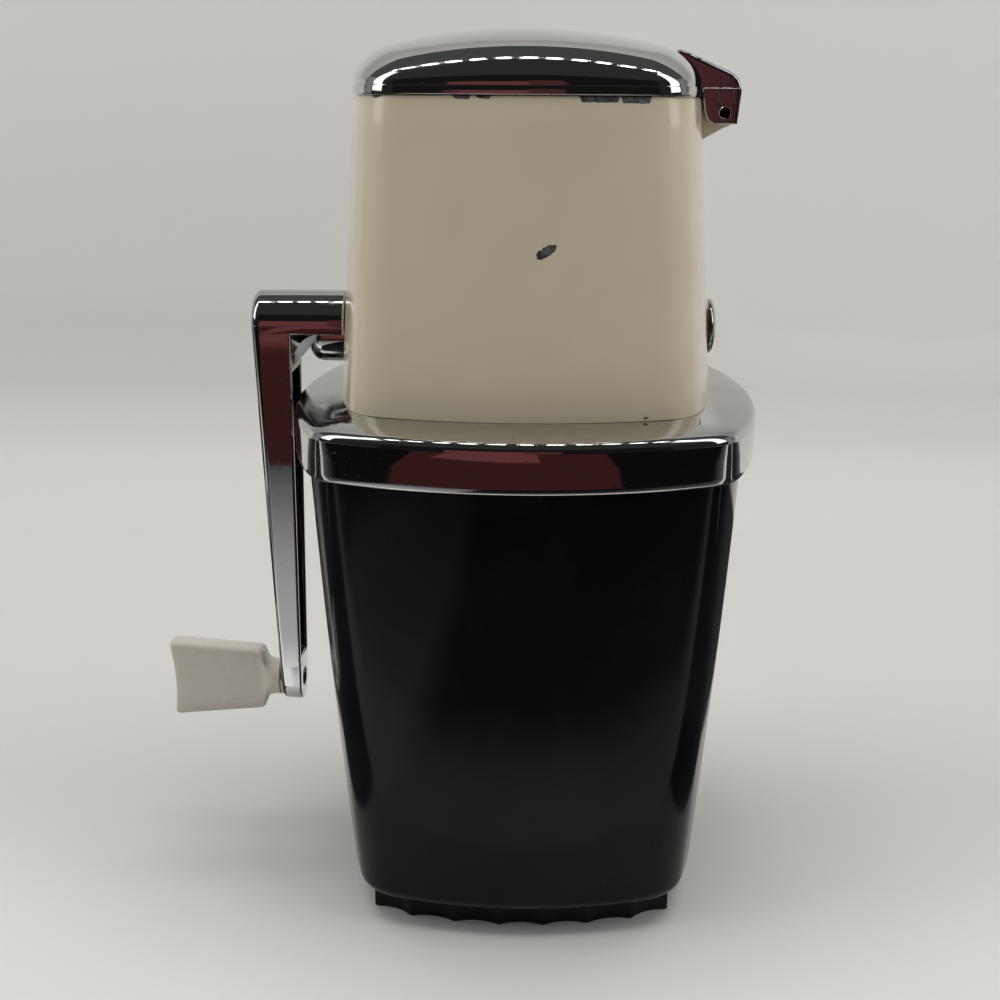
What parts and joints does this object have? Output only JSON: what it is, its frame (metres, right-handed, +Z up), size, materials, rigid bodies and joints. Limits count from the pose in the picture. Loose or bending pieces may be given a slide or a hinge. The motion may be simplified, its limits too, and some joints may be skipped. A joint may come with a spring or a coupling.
{
  "type": "hand crank ice crusher",
  "caption": "Table-top ice crusher: cream housing with chrome domed lid and collar, side crank with a flat paddle grip, toothed rotor inside, on a black lift-off cup with a scalloped foot.",
  "frame": {"origin": "middle of the foot's underside, on the table, under the centre of the housing", "axes": "+Z up; -X towards the crank, +X towards the lid's hinge; the crank's axle runs along X"},
  "size_m": [0.1741, 0.1306, 0.2474],
  "materials": {
    "cream_enamel": "glossy stoved enamel over a casting, chipped along the top edge",
    "chrome": "polished chrome plate, lightly worn",
    "black_plastic": "glossy moulded black plastic",
    "black_rubber": "matte black moulded rubber",
    "ivory_plastic": "glossy ivory plastic",
    "steel": "plain machined steel",
    "bronze": "plain turned bronze"
  },
  "bodies": {
    "base": {"cup": "black_plastic", "rubber_foot": "black_rubber", "foot_plate": "steel", "foot_screw": "steel"},
    "head": {"collar": "chrome", "housing": "cream_enamel", "housing_screws": "steel", "front_bush": "bronze", "rear_bush": "bronze", "fine_comb": "steel", "coarse_comb": "steel", "comb_screws": "steel"},
    "lid": {"lid": "chrome", "hinge_pin": "steel"},
    "paddle": {"crank_paddle": "ivory_plastic"},
    "crank": {"rotor_shaft": "steel", "cutter_1": "steel", "cutter_2": "steel", "cutter_3": "steel", "cutter_4": "steel", "cutter_5": "steel", "cutter_spacer_1": "steel", "cutter_spacer_2": "steel", "cutter_spacer_3": "steel", "cutter_spacer_4": "steel", "end_spacer_front": "steel", "end_spacer_rear": "steel", "thrust_washer_front": "bronze", "thrust_washer_rear": "bronze", "shaft_cap": "chrome", "crank_arm": "chrome", "crank_grub_screw": "steel", "paddle_pin": "steel", "paddle_washer": "steel"}
  },
  "joints": [
    {"name": "head_lift", "type": "slide", "parent": "base", "child": "head", "axis": [0, 0, 1], "range_m": [0, 0.06]},
    {"name": "lid_hinge", "type": "hinge", "parent": "head", "child": "lid", "pos_m": [0.0525, 0, 0.2261], "axis": [0, 1, 0], "range_deg": [0, 105]},
    {"name": "crank_turn", "type": "hinge", "parent": "head", "child": "crank", "pos_m": [0, 0, 0.1675], "axis": [1, 0, 0], "continuous": true},
    {"name": "grip_turn", "type": "hinge", "parent": "crank", "child": "paddle", "pos_m": [-0.09, 0, 0.0575], "axis": [1, 0, 0], "continuous": true}
  ]
}
